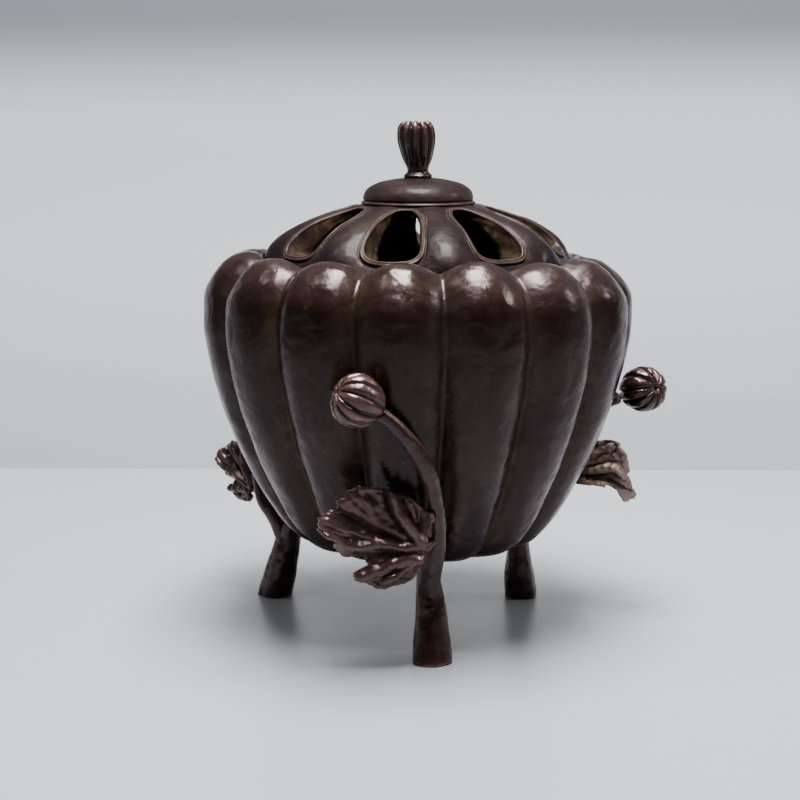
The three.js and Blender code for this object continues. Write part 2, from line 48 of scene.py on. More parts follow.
# bowl, outside: radius, height of a lobe's crest; how far the groove lies from it; fullness of the lobe
OUTSIDE = [
    [22.0, 22.0, 0, 0, 2.6], [25.5, 22.0, 0, 0, 2.6], [28.9, 22.4, -.3, .85, 2.6], [32.2, 23.9, -1.1, 1.3, 2.6],
    [35.8, 27.2, -1.85, 1.55, 2.6], [39.0, 31.4, -2.4, 1.75, 2.6], [42.0, 36.4, -2.95, 1.85, 2.6], [45.2, 42.4, -3.45, 1.85, 2.6],
    [48.5, 49.5, -3.8, 1.75, 2.6], [51.4, 57.2, -4.2, 1.6, 2.6], [53.7, 64.6, -4.4, 1.35, 2.6], [55.6, 72.4, -4.5, .95, 2.6],
    [56.7, 80.0, -4.6, .4, 2.5], [56.8, 85.0, -4.6, -.1, 2.4], [56.4, 90.0, -4.45, -1.1, 2.3], [54.4, 94.2, -3.85, -2.1, 2.2],
    [51.8, 97.6, -2.95, -3.0, 2.1], [48.7, 99.9, -1.7, -3.6, 2.1], [45.6, 100.7, -.1, -3.75, 2.1], [43.2, 100.4, .1, -3.0, 2.1],
    [42.0, 99.6, 0, -2.0, 2.1], [MOUTH_R, 98.6, 0, -1.1, 2.1]]
# how much lower each lobe's top is than the front ones, from azimuth -5 round by +X
TOPS = [0, 0, -1.2, -1.8, -2.9, -3.0, -2.6, -2.0, -1.8, -1.7, -1.4, -1.3, -.2, -.7, -.3]
INSIDE = [[MOUTH_R, 95.4, 0], [MOUTH_R, LEDGE_Z, 0], [LEDGE_R, LEDGE_Z, 0], [LEDGE_R, LEDGE_Z - 2.0, 0], [45.2, 91.4, 1.0],
          [51.4, 86.6, 2.6], [53.1, 80.0, 3.4], [51.9, 70.0, 3.4], [48.8, 59.5, 3.2], [44.9, 49.5, 2.9], [40.3, 39.8, 2.5],
          [35.6, 32.0, 1.9], [31.0, 27.6, 1.2], [26.6, 25.4, 0.3], [22.0, 25.0, 0], [12.0, 25.0, 0], [0.02, 25.0, 0]]

# lid, in eleven matching rows: over a rib, level with the windows, and the inner face
LID_C = [[14, 112.4], [19, 111.3], [24.8, 109.5], [29.9, 107.9], [33.2, 106.3], [35.9, 104.7], [38.1, 103.0], [39.6, 101.2], [40.5, 99.2], [40.9, 96.9], [40.9, 94.9]]
LID_W = [[14, 112.2], [19, 110.7], [24, 109.0], [28.5, 107.2], [32.4, 104.9], [35.6, 102.3], [37.6, 100.0], [39.2, 97.8], [40.4, 96.2], [40.9, 95.5], [40.9, 94.9]]
LID_I = [[12.5, 110.5], [16.3, 109.9], [20.2, 108.2], [23.6, 106.0], [26.6, 103.3], [29.2, 100.2], [30.6, 97.8], [31.2, 96.2], [31.5, 95.3], [31.6, 95.0], [31.6, 94.9]]
WIN_T, WIN_H, WIN_E = 3.37, 2.6, 3.3       # window's centre and half height in rows, squareness

# the three leg units: trunk, branch, bud and leaf, from the bowl's axis
UNITS = {
    "front": dict(
        trunk=[(3.6, -38.8, 0), (3.55, -38.2, 1.6), (3.5, -37.4, 3.9), (3.4, -36.4, 9.9), (3.05, -35.4, 16.1), (2.7, -34.6, 20.5), (2.6, -34, 25), (2.5, -33.2, 29)],
        trad=[4.85, 4.55, 4.1, 3.8, 3.35, 2.9, 2.75, 2.9],
        stem=[(3.3, -35.6, 13), (3.2, -36.9, 17.5), (3.2, -38.8, 22), (3.6, -41.1, 26.2), (4.4, -43, 30.4), (4.75, -44.8, 34.4), (4.8, -46.2, 38), (4.4, -47.8, 42.1), (3.8, -49.4, 46.2), (2.8, -51, 50.2), (0.1, -53.3, 56), (-2.9, -54.9, 60.2), (-5.8, -55.9, 63.6), (-8.9, -56.7, 66.3)],
        bud=(-13.8, -57.7, 69.3), baxis=(.526, -.697, .45),
        leaf=dict(az=5, root=(1.6, -48, 31.6), relief=1.05)),
    "right": dict(
        trunk=[(29.47, 19.07, 0), (29.39, 19.01, 1.6), (29.16, 18.99, 3.9), (28.74, 18.71, 8.5), (28.63, 18.52, 13.5), (28.46, 18.41, 18.5), (28.21, 18.25, 23.5), (27.88, 18.03, 29.5)],
        trad=[4.45, 4.3, 3.75, 3.2, 3, 2.9, 2.9, 3],
        stem=[(28.71, 18.58, 13), (29.53, 19.34, 17.5), (31.55, 20.65, 21.5), (34.37, 21.99, 25.6), (36.93, 23.18, 30.2), (38.72, 24.1, 34.4), (40.29, 24.99, 38), (41.91, 25.8, 41.6), (43.61, 26.3, 45), (45.84, 25.61, 48.7), (49.14, 23.45, 52.3), (52.26, 20.47, 55.2), (55.27, 16.93, 57.3)],
        bud=(61.6, 12, 60.7), baxis=(.415, -.895, .21),
        leaf=dict(az=122.9, root=(42.87, 23.21, 34.4), scale=(1.0, 0.72), bend=(148, 12.5), curl=82, lift=5.6, low=.86, relief=1.35, under=.95, crumple=3.2)),
    "left": dict(
        trunk=[(-40.51, 20.28, 0), (-40.15, 20.1, 1.6), (-39.3, 19.57, 4.6), (-38.31, 19.07, 8.9), (-37.38, 18.72, 12.5), (-36.75, 18.4, 15.5), (-35.41, 17.73, 20.5), (-33.8, 16.93, 25), (-32.19, 16.12, 29.5)],
        trad=[4.8, 4.6, 4.2, 3.8, 3.4, 3.2, 3.1, 3.2],
        stem=[(-37.38, 18.72, 13), (-37.87, 18.63, 17), (-39.12, 19.25, 20.9), (-40.95, 20.51, 24.3), (-42.96, 21.85, 26.9), (-43.99, 22.7, 29.4), (-44.8, 23.77, 33.4), (-45.33, 24.71, 38), (-45.78, 26.28, 43), (-45.96, 29.28, 48.6), (-45.33, 34.11, 54.4), (-44.34, 37.86, 58.6), (-43.09, 41.26, 62)],
        bud=(-41.92, 47.16, 65.6), baxis=(.415, -.895, .21),
        leaf=dict(az=-116.6, root=(-46.23, 25.61, 29.2), scale=(0.66, 0.66), relief=1, low=.97, turn=-14, curl=10, twist=65)),
}
STEM_R = [2.1, 2.75, 2.8, 2.35, 2.1, 2.2, 2.15, 1.8, 1.75]

# ------------------------------------------------------------------ helpers
def polar(r, az, z):
    a = math.radians(az)
    return (r * math.sin(a), -r * math.cos(a), z)

def catmull(vals, n):
    """Smooth resampling of control rows, n steps a span."""
    v = np.array(vals, float)
    out = []
    for i in range(len(v) - 1):
        p0 = v[max(0, i - 1)]; p1 = v[i]; p2 = v[i + 1]; p3 = v[min(len(v) - 1, i + 2)]
        d1, d2 = (p2 - p0) / 2, (p3 - p1) / 2
        for k in range(n):
            t = k / n
            out.append((2*t**3-3*t*t+1)*p1 + (t**3-2*t*t+t)*d1 + (-2*t**3+3*t*t)*p2 + (t**3-t*t)*d2)
    out.append(v[-1])
    return np.array(out)

def smooth(x):
    x = min(1.0, max(0.0, x))
    return x * x * (3 - 2 * x)

def uneven(p, size=9.0, amount=0.10, seed=0.0):
    """Slow, seeded unevenness of a hand-finished casting, mm."""
    q = Vector((p[0] / size + seed, p[1] / size, p[2] / size))
    return amount * noise.noise(q) + amount * 0.45 * noise.noise(q * 2.7)

def new_object(name, verts_mm, faces, body, marks=None, weld=True, wobble=None, ground=False):
    """A mesh object from millimetres about the bowl's axis; marks are per-vertex masks."""
    me = bpy.data.meshes.new(name)
    me.from_pydata([((x + AX) / 1000, (y + AY) / 1000, z / 1000) for x, y, z in verts_mm], [], faces)
    for key, vals in (marks or {}).items():
        at = me.attributes.new(key, "FLOAT", "POINT")
        at.data.foreach_set("value", [float(v) for v in vals])
    me.validate(); me.update()
    bm = bmesh.new(); bm.from_mesh(me)
    if weld: bmesh.ops.remove_doubles(bm, verts=bm.verts, dist=1e-6)
    bmesh.ops.recalc_face_normals(bm, faces=bm.faces)
    if wobble:
        bm.normal_update()
        size, amount, seed = wobble
        moves = [v.normal * (uneven((v.co.x * 1000, v.co.y * 1000, v.co.z * 1000), size, amount, seed) / 1000) for v in bm.verts]
        for v, d in zip(bm.verts, moves):
            on = ground and v.co.z < 1e-6
            v.co += d
            if on or (ground and v.co.z < 0): v.co.z = 0.0
    bm.to_mesh(me); bm.free()
    o = bpy.data.objects.new(name, me)
    bpy.context.scene.collection.objects.link(o)
    for p in me.polygons: p.use_smooth = True
    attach(o, body)
    return o

def ring_faces(nr, n, closed_ends=(True, True), base=0):
    f = []
    for k in range(nr - 1):
        for i in range(n):
            j = (i + 1) % n
            f.append((base + k*n + i, base + k*n + j, base + (k+1)*n + j, base + (k+1)*n + i))
    if closed_ends[0]: f.append(tuple(base + i for i in range(n))[::-1])
    if closed_ends[1]: f.append(tuple(base + (nr-1)*n + i for i in range(n)))
    return f

def tube(points, radii, sides=24, samples=60, shape=None):
    """A tube through 3-D points; shape(t, a) scales the radius."""
    P = catmull([list(p) for p in points], 12)
    s = np.r_[0, np.cumsum(np.linalg.norm(np.diff(P, axis=0), axis=1))]
    u = np.linspace(0, s[-1], samples + 1)
    P = np.stack([np.interp(u, s, P[:, i]) for i in range(3)], 1)
    rc = catmull([[r] for r in radii], 12)[:, 0]
    R = np.interp(np.linspace(0, 1, samples + 1), np.linspace(0, 1, len(rc)), rc)
    T = np.gradient(P, axis=0); T /= np.linalg.norm(T, axis=1)[:, None]
    side = np.array([1.0, 0, 0]); verts = []
    for k in range(samples + 1):
        side = side - T[k] * (side @ T[k]); side /= np.linalg.norm(side)
        up = np.cross(T[k], side)
        for j in range(sides):
            a = 2 * math.pi * j / sides
            r = R[k] * (shape(k / samples, a) if shape else 1)
            verts.append(tuple(P[k] + side * r * math.cos(a) + up * r * math.sin(a)))
    return verts, ring_faces(samples + 1, sides), P, T

# ------------------------------------------------------------------ materials
def bronze(name, base, warm, light, stain_and_shade, rough=0.24, bump=0.25, metal=0.3, wear_and_highlight=0.5, olive=0.5, ior=1.5, seed=0.0, tint=(1.0, 0.68, 0.64)):
    """Waxed patinated bronze: slow tones from plum to olive, mottling, chips and pits, stained hollows and rubbed
    ridges; with the branch finish the hollow colour is also painted shade on the trunks, and the ridge colour a painted
    highlight on the branches' upper side.
    """
    m = bpy.data.materials.new(name); m.use_nodes = True
    nt = m.node_tree; nt.nodes.clear()
    N, L = nt.nodes.new, nt.links.new
    out = N("ShaderNodeOutputMaterial"); b = N("ShaderNodeBsdfPrincipled"); L(b.outputs[0], out.inputs[0])
    tc = N("ShaderNodeTexCoord")
    mp = N("ShaderNodeMapping"); mp.inputs["Location"].default_value = (seed, seed * 0.37, -seed * 0.61); L(tc.outputs["Object"], mp.inputs[0])
    def tex(scale, detail=4, rough_=0.55, dist=0.0, out_=0, vec=None):
        n = N("ShaderNodeTexNoise"); n.inputs["Scale"].default_value = scale; n.inputs["Detail"].default_value = detail
        n.inputs["Roughness"].default_value = rough_; n.inputs["Distortion"].default_value = dist
        L(vec or mp.outputs[0], n.inputs["Vector"])
        return n.outputs[out_]
    def band(src, a, c, lo=0.0, hi=1.0):
        r = N("ShaderNodeMapRange"); L(src, r.inputs[0])
        r.inputs[1].default_value, r.inputs[2].default_value = a, c
        r.inputs[3].default_value, r.inputs[4].default_value = lo, hi
        return r.outputs[0]
    def math_(op, a, c):
        x = N("ShaderNodeMath"); x.operation = op
        for i, v in enumerate((a, c)):
            if isinstance(v, (int, float)): x.inputs[i].default_value = v
            else: L(v, x.inputs[i])
        return x.outputs[0]
    def mix(fac, a, c):
        x = N("ShaderNodeMix"); x.data_type = "RGBA"
        if isinstance(fac, (int, float)): x.inputs[0].default_value = fac
        else: L(fac, x.inputs[0])
        for s, v in ((6, a), (7, c)):
            if isinstance(v, tuple): x.inputs[s].default_value = (*v, 1)
            else: L(v, x.inputs[s])
        return x.outputs[2]
    def mark(key):
        a = N("ShaderNodeAttribute"); a.attribute_type = "GEOMETRY"; a.attribute_name = key
        return a.outputs["Fac"]
    slow, mid, fine = tex(26, 4), tex(120, 6, 0.62, 0.6), tex(620, 5, 0.65)
    col = mix(band(slow, 0.38, 0.66), base, warm)
    green = tuple(c * k for c, k in zip(base, (0.85, 1.35, 0.85)))
    col = mix(math_("MULTIPLY", band(tex(33, 3, 0.5, 0.4), 0.50, 0.66), olive), col, green)
    col = mix(band(mid, 0.48, 0.74, 0, 0.8), col, tuple(0.5 * c for c in base))
    col = mix(band(tex(75, 5, 0.7, 1.5), 0.56, 0.72, 0, 0.55), col, tuple(1.5 * c for c in warm))
    # old drips: olive and dark streaks that run down the sides
    ms = N("ShaderNodeMapping"); ms.inputs["Scale"].default_value = (1, 1, 0.3); ms.inputs["Location"].default_value = (seed * 0.7 + 0.31, 0.2, 0.1); L(tc.outputs["Object"], ms.inputs[0])
    drip = math_("MULTIPLY", band(tex(95, 5, 0.62, 0.5, 0, ms.outputs[0]), 0.50, 0.66), band(tex(210, 4, 0.6, 0.8), 0.38, 0.60, 0.25, 1.0))
    col = mix(math_("MULTIPLY", drip, 1.1 * olive), col, tuple(0.8 * c for c in stain_and_shade))
    soot = band(tex(70, 4, 0.55, 0.3, 1, ms.outputs[0]), 0.54, 0.68)
    col = mix(math_("MULTIPLY", soot, olive), col, tuple(0.35 * c for c in base))
    # stained hollows; with the branch finish's near-black colour this is also painted shade at the trunks' feet and
    # under the bowl
    patchy = math_("MULTIPLY", band(tex(85, 6, 0.68, 1.2), 0.36, 0.60, 0.15, 1.0), band(tex(310, 5, 0.7, 1.0), 0.42, 0.60, 0.22, 1.0))
    hollow = math_("MULTIPLY", mark("hollow"), patchy)
    col = mix(hollow, col, stain_and_shade)
    # rubbed ridges, and on the branches a painted highlight along the side facing the overhead light
    ridge = math_("MULTIPLY", mark("ridge"), band(tex(240, 4), 0.35, 0.6, 0.2, wear_and_highlight))
    col = mix(ridge, col, light)
    # irregular chips, here and there
    wv = N("ShaderNodeVectorMath"); wv.operation = "MULTIPLY_ADD"
    L(tex(520, 3, 0.6, 0, 1), wv.inputs[0]); wv.inputs[1].default_value = (0.0042, 0.0042, 0.0042); L(mp.outputs[0], wv.inputs[2])
    vo = N("ShaderNodeTexVoronoi"); vo.inputs["Scale"].default_value = 150; L(wv.outputs[0], vo.inputs["Vector"])
    some = band(tex(70, 3), 0.56, 0.62)
    dot = math_("MULTIPLY", band(vo.outputs["Distance"], 0.10, 0.055), some)
    col = mix(math_("MULTIPLY", dot, 0.75), col, tuple(min(1, 1.5 * c) for c in light))
    L(col, b.inputs["Base Color"])
    b.inputs["Metallic"].default_value = metal
    # gloss: smudges and worn patches
    rg = math_("ADD", band(mid, 0.3, 0.7, -0.05, 0.09), band(tex(34, 5, 0.6, 1.0), 0.35, 0.68, rough - 0.05, rough + 0.10))
    rg = math_("ADD", rg, math_("MULTIPLY", mark("hollow"), 0.28))
    L(math_("ADD", rg, band(fine, 0.45, 0.75, 0, 0.08)), b.inputs["Roughness"])
    b.inputs["Coat Weight"].default_value = 0.05; b.inputs["Coat Roughness"].default_value = 0.15
    b.inputs["IOR"].default_value = ior
    b.inputs["Specular Tint"].default_value = (*tint, 1.0)
    # relief: hand-finished unevenness, grain, pits
    pits = math_("MULTIPLY", band(vo.outputs["Distance"], 0.0, 0.16, -1, 0), some)
    h = math_("ADD", math_("MULTIPLY", fine, 0.09), math_("MULTIPLY", mid, 0.8))
    h = math_("ADD", h, math_("MULTIPLY", tex(55, 2), 4.5))
    h = math_("ADD", h, math_("MULTIPLY", tex(170, 2, 0.45, 0.4), 2.8))
    h = math_("ADD", h, math_("MULTIPLY", pits, 0.5))
    bp = N("ShaderNodeBump"); bp.inputs["Strength"].default_value = bump; bp.inputs["Distance"].default_value = 0.0005
    L(h, bp.inputs["Height"]); L(bp.outputs[0], b.inputs["Normal"])
    return m

OCHRE = (0.046, 0.030, 0.0135)
M_BOWL = bronze("bowl_patina", (0.0082, 0.0034, 0.0031), (0.0128, 0.0050, 0.0042), (0.060, 0.035, 0.029), (0.040, 0.0270, 0.0120), 0.20, 0.42, olive=0.38, ior=1.335, seed=0.1, tint=(0.91, 0.76, 0.82))
M_LID = bronze("lid_patina", (0.0066, 0.0034, 0.0036), (0.0100, 0.0048, 0.0048), (0.080, 0.052, 0.044), OCHRE, 0.44, 0.42, olive=0.2, ior=1.20, seed=0.7, tint=(0.70, 0.60, 0.66))
# the branch finish's near-black hollow colour is painted shade on the trunks and darkens the grooves of the buds and
# knob
M_BRANCH = bronze("branch_patina", (0.0105, 0.0033, 0.0028), (0.0200, 0.0055, 0.0042), (0.150, 0.086, 0.072), (0.004, 0.0020, 0.0016), 0.23, 0.50, olive=0.2, ior=1.5, seed=1.3, tint=(1.0, 0.80, 0.80))
# painted light: a brighter copy of the branch finish, used only on the front bud to stand in for the light falling on
# it
M_BUD_LIT = bronze("bud_patina_painted_light", (0.0230, 0.0085, 0.0072), (0.0380, 0.0135, 0.0105), (0.150, 0.092, 0.078), (0.004, 0.0020, 0.0016), 0.24, 0.50, olive=0.1, ior=1.62, seed=1.9, tint=(1.0, 0.82, 0.82))
M_LEAF = bronze("leaf_patina", (0.0230, 0.0100, 0.0094), (0.036, 0.0150, 0.0125), (0.100, 0.064, 0.058), (0.100, 0.066, 0.030), 0.26, 0.50, wear_and_highlight=0.75, olive=0.12, ior=1.55, seed=2.1, tint=(0.93, 0.67, 0.68))
# painted light: a much brighter copy of the leaf finish, used on the right leaf to stand in for the light on it
M_LEAF_LIT = bronze("leaf_patina_painted_light", (0.150, 0.108, 0.112), (0.230, 0.165, 0.158), (0.160, 0.120, 0.124), (0.560, 0.400, 0.175), 0.24, 0.75, metal=0.1, olive=0.1, wear_and_highlight=0.8, ior=1.55, seed=5.1)
# painted shade: a darker copy of the leaf finish, used on the left leaf to stand in for shade on it
M_LEAF_SHADED = bronze("leaf_patina_painted_shade", (0.0125, 0.0066, 0.0072), (0.0190, 0.0098, 0.0098), (0.100, 0.076, 0.072), (0.030, 0.020, 0.012), 0.24, 0.50, wear_and_highlight=0.75, olive=0.15, ior=1.50, seed=6.7)
M_BARE = bronze("bare_bronze", (0.060, 0.040, 0.022), (0.085, 0.056, 0.032), (0.16, 0.11, 0.06), (0.03, 0.02, 0.01), 0.45, 0.40, metal=0.7, olive=0.2, seed=3.3)

def finish_piece(o, mat, slot, *nodes):
    o.data.materials.clear(); o.data.materials.append(mat)
    if nodes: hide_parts(*nodes)
    return o

# ------------------------------------------------------------------ bowl
SUB = 28
BN = LOBES * SUB
GROOVE = [0.30, 0.58, 0.48, 0.62, 0.52, 0.60, 0.46, 0.58, 0.62, 0.5, 0.56, 0.46, 0.6, 0.54, 0.28]     # where each groove's stain starts
verts, hol, rid = [], [], []
rows = catmull(OUTSIDE, 6); rows[0, 0] = 21.9
def lobe_s(i):
    return abs(((i % SUB) / SUB) * 2 - 1)
def top_drop(az, r, z):
    f = ((az + 5) % 360) / (360 / LOBES); i = int(f) % LOBES
    d = TOPS[i] + (TOPS[(i + 1) % LOBES] - TOPS[i]) * smooth(f - int(f))
    return d * min(1, max(0, (z - 78) / 20)) ** 1.5 * (0.5 + 0.5 * smooth((r - MOUTH_R) / 3.6))
for c in ([0.02, 22.0], [11.0, 22.0]):
    for i in range(BN):
        verts.append(polar(c[0], PHASE + i / BN * 360, c[1])); hol.append(0.3); rid.append(0)
for r, z, dr, dz, e in rows:
    for i in range(BN):
        s = lobe_s(i); q = s ** e
        az = PHASE + i / BN * 360
        verts.append(polar(r + dr * q, az, z + dz * q + top_drop(az, r, z)))
        g = int((i + SUB / 2) // SUB) % LOBES
        wide = GROOVE[g]
        hol.append(smooth((s - wide) / (1 - wide)) * (0.35 + 0.65 * smooth((98 - z) / 30) * smooth((z - 20) / 20)))
        rid.append(smooth((z - 92) / 6) * (1 - s) * 0.35)
ins = np.vstack([np.array(INSIDE[:3], float), catmull(INSIDE[3:], 4)])
for r, z, d in ins:
    for i in range(BN):
        q = max(0.0, d) * lobe_s(i) ** 2.6
        verts.append(polar(r - q, PHASE + i / BN * 360, z)); hol.append(0.8 if z < 94 else 0.3); rid.append(0)
bowl = new_object("bowl_shell", verts, ring_faces(2 + len(rows) + len(ins), BN), "bowl_body",
                  {"hollow": hol, "ridge": rid}, wobble=(9.0, 0.20, 0.0))
finish_piece(bowl, M_BOWL, "bowl_bronze", "bowl")

def bowl_height(x, y):
    """Height of the bowl's underside flank above a point, mm."""
    r = math.hypot(x, y); az = math.degrees(math.atan2(x, -y))
    s = abs((((az - PHASE) / (360 / LOBES)) % 1) * 2 - 1) ** 2.6
    rr, zz = rows[:60, 0] + rows[:60, 2] * s, rows[:60, 1] + rows[:60, 3] * s
    return float(np.interp(r, rr, zz))

# ------------------------------------------------------------------ leg units
def spin(p, az):
    """From a unit's own (out, across, up) to the bowl's axes."""
    a = math.radians(az); o = (math.sin(a), -math.cos(a)); t = (math.cos(a), math.sin(a))
    return (p[0] * o[0] + p[1] * t[0], p[0] * o[1] + p[1] * t[1], p[2])

# the leaf, seen flat: its outline round its root as angle and length, then its folds as height, width and course
OUTLINE = [[76.2, 7.9], [79.9, 9.2], [91.7, 10.2], [99.6, 11.9], [103.9, 13.2], [109.1, 14.1], [113.6, 15.1], [118.8, 16.5], [123.1, 18.05],
           [127.8, 20], [132.3, 21.7], [136.7, 23], [139.9, 23.8], [144.7, 24], [149.1, 24.5], [151.8, 24.3], [154, 23.3], [155.8, 24.9],
           [158, 26.1], [161.6, 26.7], [165.3, 26.7], [168.5, 26.1], [169.9, 24.9], [171, 22.7], [173, 21.9], [175.6, 21.9], [179.5, 21.3],
           [182.5, 20.1], [184, 18], [185, 16], [187.2, 14.9], [190, 14.5], [193, 14.5], [195.4, 14.2], [196.6, 15.6], [198.1, 18],
           [199.8, 18.6], [202.7, 18.4], [205.9, 17.5], [208.6, 16.6], [212.6, 16.1], [217.9, 15.4], [225, 13.8], [229.5, 12.1],
           [235.9, 10.5], [242, 9.4], [247.8, 7.9], [252, 6.1], [257, 4.2]]
FOLDS = [(1.4, 1.2, [(23.7, 4.3), (19.4, 1.6), (15.6, 1), (10.8, 1.8), (7.9, 1.2), (4.1, .4), (.2, .4)]),
         (-1.1, 1.1, [(20.1, 9.3), (16.5, 7.5), (13.2, 5.5), (9.8, 3.5), (6, 1.9)]),
         (.8, .6, [(15, 15.3), (14.1, 12.6), (12.5, 8.5)]), (.35, .45, [(18.6, 12.8), (15.5, 9.6)]), (.35, .4, [(11.2, 14), (10.4, 11.5)]),
         (1.8, 1.1, [(7.9, 13.3), (6.9, 9.8), (4.6, 6.7), (2.7, 3.9), (.2, 1.3)]),
         (-1.1, .8, [(9.4, 14.2), (8.4, 9.9), (6, 6.1), (2.9, 2.6)]), (-.7, .5, [(5.4, 12.6), (4.2, 9.4), (2.6, 6.2)]), (.6, .5, [(3.4, 11.6), (2.4, 8)]),
         (1.2, .8, [(-1.7, 8.4), (-1.9, 5.2), (-1.7, 1.8)]), (-.8, 1.4, [(1.5, 9), (1, 3.8)]),
         (1.1, 1.2, [(1.4, -2.1), (7.4, -3.5), (10.8, -5.3), (15.1, -6.3)]), (-.8, .9, [(14.6, -1.8), (8.4, -.7), (2.2, -.4)]),
         (.8, .7, [(.7, -2.6), (4.1, -4.5), (7.4, -6.7), (9.9, -7.9)]), (-.35, .5, [(2, -3.4), (6, -4.9), (10, -6.7)]),
         (1.5, 2.8, [(23.7, 6.2), (21.5, 5)]), (.5, 2, [(17, 11), (18, 12)]), (.6, .5, [(24, 8), (18.5, 5.2), (13, 3.3)]), (-.6, .5, [(24.5, 5.6), (19, 3.4)])]

def leaf_height(u, v):
    """The blade's height over its plane; folds fade towards the root."""
    rho = np.hypot(u, v)
    fold = np.zeros_like(u)
    for hgt, wid, line in FOLDS:
        best = np.full(u.shape, 1e9)
        for (a0, b0), (a1, b1) in zip(line[:-1], line[1:]):
            d = np.array([a1 - a0, b1 - b0]); k = (((u - a0) * d[0] + (v - b0) * d[1]) / (d @ d)).clip(0, 1)
            best = np.minimum(best, np.hypot(u - a0 - k * d[0], v - b0 - k * d[1]))
        fold += hgt * np.exp(-(best / wid) ** 2)
    x = (rho / 4.5).clip(0, 1); fade = x * x * (3 - 2 * x)
    return 0.8 + 1.1 * (rho / 24).clip(0, 1) ** 1.3 + fold * (0.3 + 0.7 * fade), fold

def place_leaf(G, L):
    """Carries leaf points (along, across, over) into the bowl's axes, with the leaf's own turn, curl, bend and twist."""
    u, v, w = G[..., 0].copy(), G[..., 1].copy(), G[..., 2].copy()
    sc = L.get("scale", (1, 1)); u *= sc[0]; v *= sc[1]
    w = (w - 0.8) * L.get("relief", 1)
    ta = math.radians(L.get("turn", 0))
    u, v = u * math.cos(ta) + v * math.sin(ta), -u * math.sin(ta) + v * math.cos(ta)
    cl = math.radians(L.get("curl", 0)); low = np.minimum(v, 0)
    v = v + low * (math.cos(cl) - 1); w = w + low * math.sin(cl)
    k = (u / 25).clip(0, 1.3)
    if "bend" in L:
        b0, b1 = L["bend"]; c = math.radians(b0) / (25 - b1)
        th = c * (u - b1).clip(0, None)
        v = v - (1 - np.cos(th)) / c
        u = np.where(u > b1, b1 + np.sin(th) / c, u)
    w = w + L.get("lift", 0) * k ** 1.2
    tw = math.radians(L.get("twist", 0))
    u, w = u * math.cos(tw) - w * math.sin(tw), u * math.sin(tw) + w * math.cos(tw)
    w = w + 0.8
    a = math.radians(L["az"]); o, t = (math.sin(a), -math.cos(a)), (math.cos(a), math.sin(a))
    r = L["root"]
    return np.stack([r[0] + w * o[0] - u * t[0], r[1] + w * o[1] - u * t[1], r[2] + v], -1)

def leaf_mesh(unit):
    L = unit["leaf"]
    tab = catmull(OUTLINE, 5)
    nt_, na = 44, len(tab)
    tt = np.linspace(0, 1, nt_ + 1) ** 0.92
    A = np.radians(tab[:, 0])
    low = 1 + (L.get("low", 1) - 1) * np.array([smooth((a - 190) / 12) for a in tab[:, 0]])
    ser = 1 + 0.010 * np.sin(tab[:, 0] * 0.9) + 0.008 * np.sin(tab[:, 0] * 2.1 + 1)
    R_ = tab[:, 1] * low
    q = tt[:, None] * R_[None, :] * (1 + (ser[None, :] - 1) * tt[:, None] ** 2)
    u, v = -np.cos(A)[None, :] * q, np.sin(A)[None, :] * q
    w, fold = leaf_height(u, v)
    bead = np.exp(-((tt - 0.95) / 0.03) ** 2)[:, None]
    w = w + 0.20 * bead - 0.45 * ((tt - 0.96) / 0.04).clip(0, 1)[:, None] ** 1.5
    vein = (fold / 1.5).clip(0, 1) * 0.7 + bead * 0.4
    lum = 0.10 * np.sin(1.9 * u + 1.3 * v) * np.sin(1.1 * v - 0.7 * u + 1) + 0.12 * np.sin(0.9 * u - 1.6 * v + 2)
    w = w + L.get("crumple", 1) * lum * (tt[:, None] * 3).clip(0, 1)
    deep = (-fold / 0.9).clip(0, 1) * (tt[:, None] * 4).clip(0, 1) * 0.35
    # pale ochre patina gathers near the root's rim and in the folds under the middle lobe
    deep = np.maximum(deep, 0.9 * np.exp(-(((u + 0.6) / 1.9) ** 2 + ((v - 5.5) / 4.2) ** 2)))
    deep = np.maximum(deep, 0.7 * np.exp(-(((u - 12) / 3.4) ** 2 + ((v + 2.0) / 1.1) ** 2)))
    G = np.stack([u, v, w], -1)
    G = place_leaf(G, L)
    du = np.gradient(G, axis=0); dv = np.gradient(G, axis=1)
    nn = np.cross(dv, du); ln = np.linalg.norm(nn, axis=2, keepdims=True); nn = nn / np.maximum(ln, 1e-9)
    nn[0] = nn[2]
    thick = (1.25 - 0.40 * tt[:, None]) * np.ones((1, na))
    thick = thick * np.where(tt[:, None] > 0.93, np.sqrt(np.clip(1 - ((tt[:, None] - 0.93) / 0.072) ** 2, 0.05, 1)), 1)
    top, bot = G + nn * thick[..., None] * 0.5, G - nn * thick[..., None] * 0.5
    o_ = spin((1, 0, 0), L["az"] - L.get("twist", 0))
    if float(nn[nt_ // 2, na // 2] @ np.array(o_)) < 0: top, bot = bot, top
    out = [tuple(arr[i, j]) for arr in (top, bot) for i in range(nt_ + 1) for j in range(na)]
    m = (nt_ + 1) * na
    faces = []
    for b0 in (0, m):
        for i in range(nt_):
            for j in range(na - 1):
                a0 = b0 + i * na + j
                faces.append((a0, a0 + 1, a0 + na + 1, a0 + na) if b0 == 0 else (a0, a0 + na, a0 + na + 1, a0 + 1))
    for j in range(na - 1):
        a0 = nt_ * na + j; faces.append((a0, a0 + 1, m + a0 + 1, m + a0))
        faces.append((j + 1, j, m + j, m + j + 1))
    for i in range(nt_):
        for j in (0, na - 1):
            a0 = i * na + j; q = (a0, a0 + na, m + a0 + na, m + a0)
            faces.append(q if j == 0 else q[::-1])
    return out, faces, {"ridge": list(vein.ravel()) + list(0.6 * vein.ravel()), "hollow": list(deep.ravel()) + list(np.maximum(deep, L.get("under", 0.4) * np.exp(-((np.hypot(u, v) - 8) / 7.5) ** 2)).ravel())}

